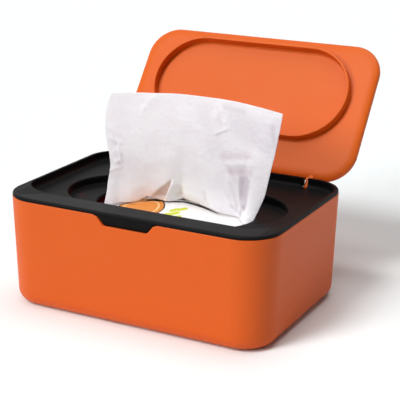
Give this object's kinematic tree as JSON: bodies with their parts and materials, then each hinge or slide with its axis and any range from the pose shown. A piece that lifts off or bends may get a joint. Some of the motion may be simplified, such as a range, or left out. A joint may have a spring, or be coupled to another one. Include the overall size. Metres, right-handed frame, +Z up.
{
  "type": "wipes dispenser box",
  "caption": "Rectangular baby wipes box: tapered tub, lift-out inner cover with a stadium opening and grip tab, hinged lid with a sealing rib, packet of wipes and one wipe pulled up",
  "frame": {"origin": "middle of the tub's standing face", "axes": "+Z up, front with the grip tab along -Y, hinge at +Y, X along the box"},
  "size_m": [0.19, 0.2061, 0.1543],
  "materials": {
    "tub": "satin orange",
    "lid": "satin orange",
    "cover": "satin black",
    "steel": "bright",
    "film": "soft white film, printed",
    "wipes": "moist nonwoven"
  },
  "bodies": {
    "tub": {"tub": "tub", "wipes_packet": "film", "wipes_stack": "wipes", "wipe": "wipes"},
    "inner_cover": {"inner_cover": "cover", "hinge_pin_left": "steel", "hinge_pin_right": "steel"},
    "lid": {"lid": "lid"}
  },
  "joints": [
    {"name": "cover_lift", "type": "slide", "parent": "tub", "child": "inner_cover", "axis": [0, 0, 1], "range_m": [0, 0.1], "deforming": ["wipe"]},
    {"name": "lid_hinge", "type": "hinge", "parent": "inner_cover", "child": "lid", "pos_m": [0, 0.0668, 0.0682], "axis": [1, 0, 0], "range_deg": [0, 127.4], "deforming": ["wipe"]}
  ]
}
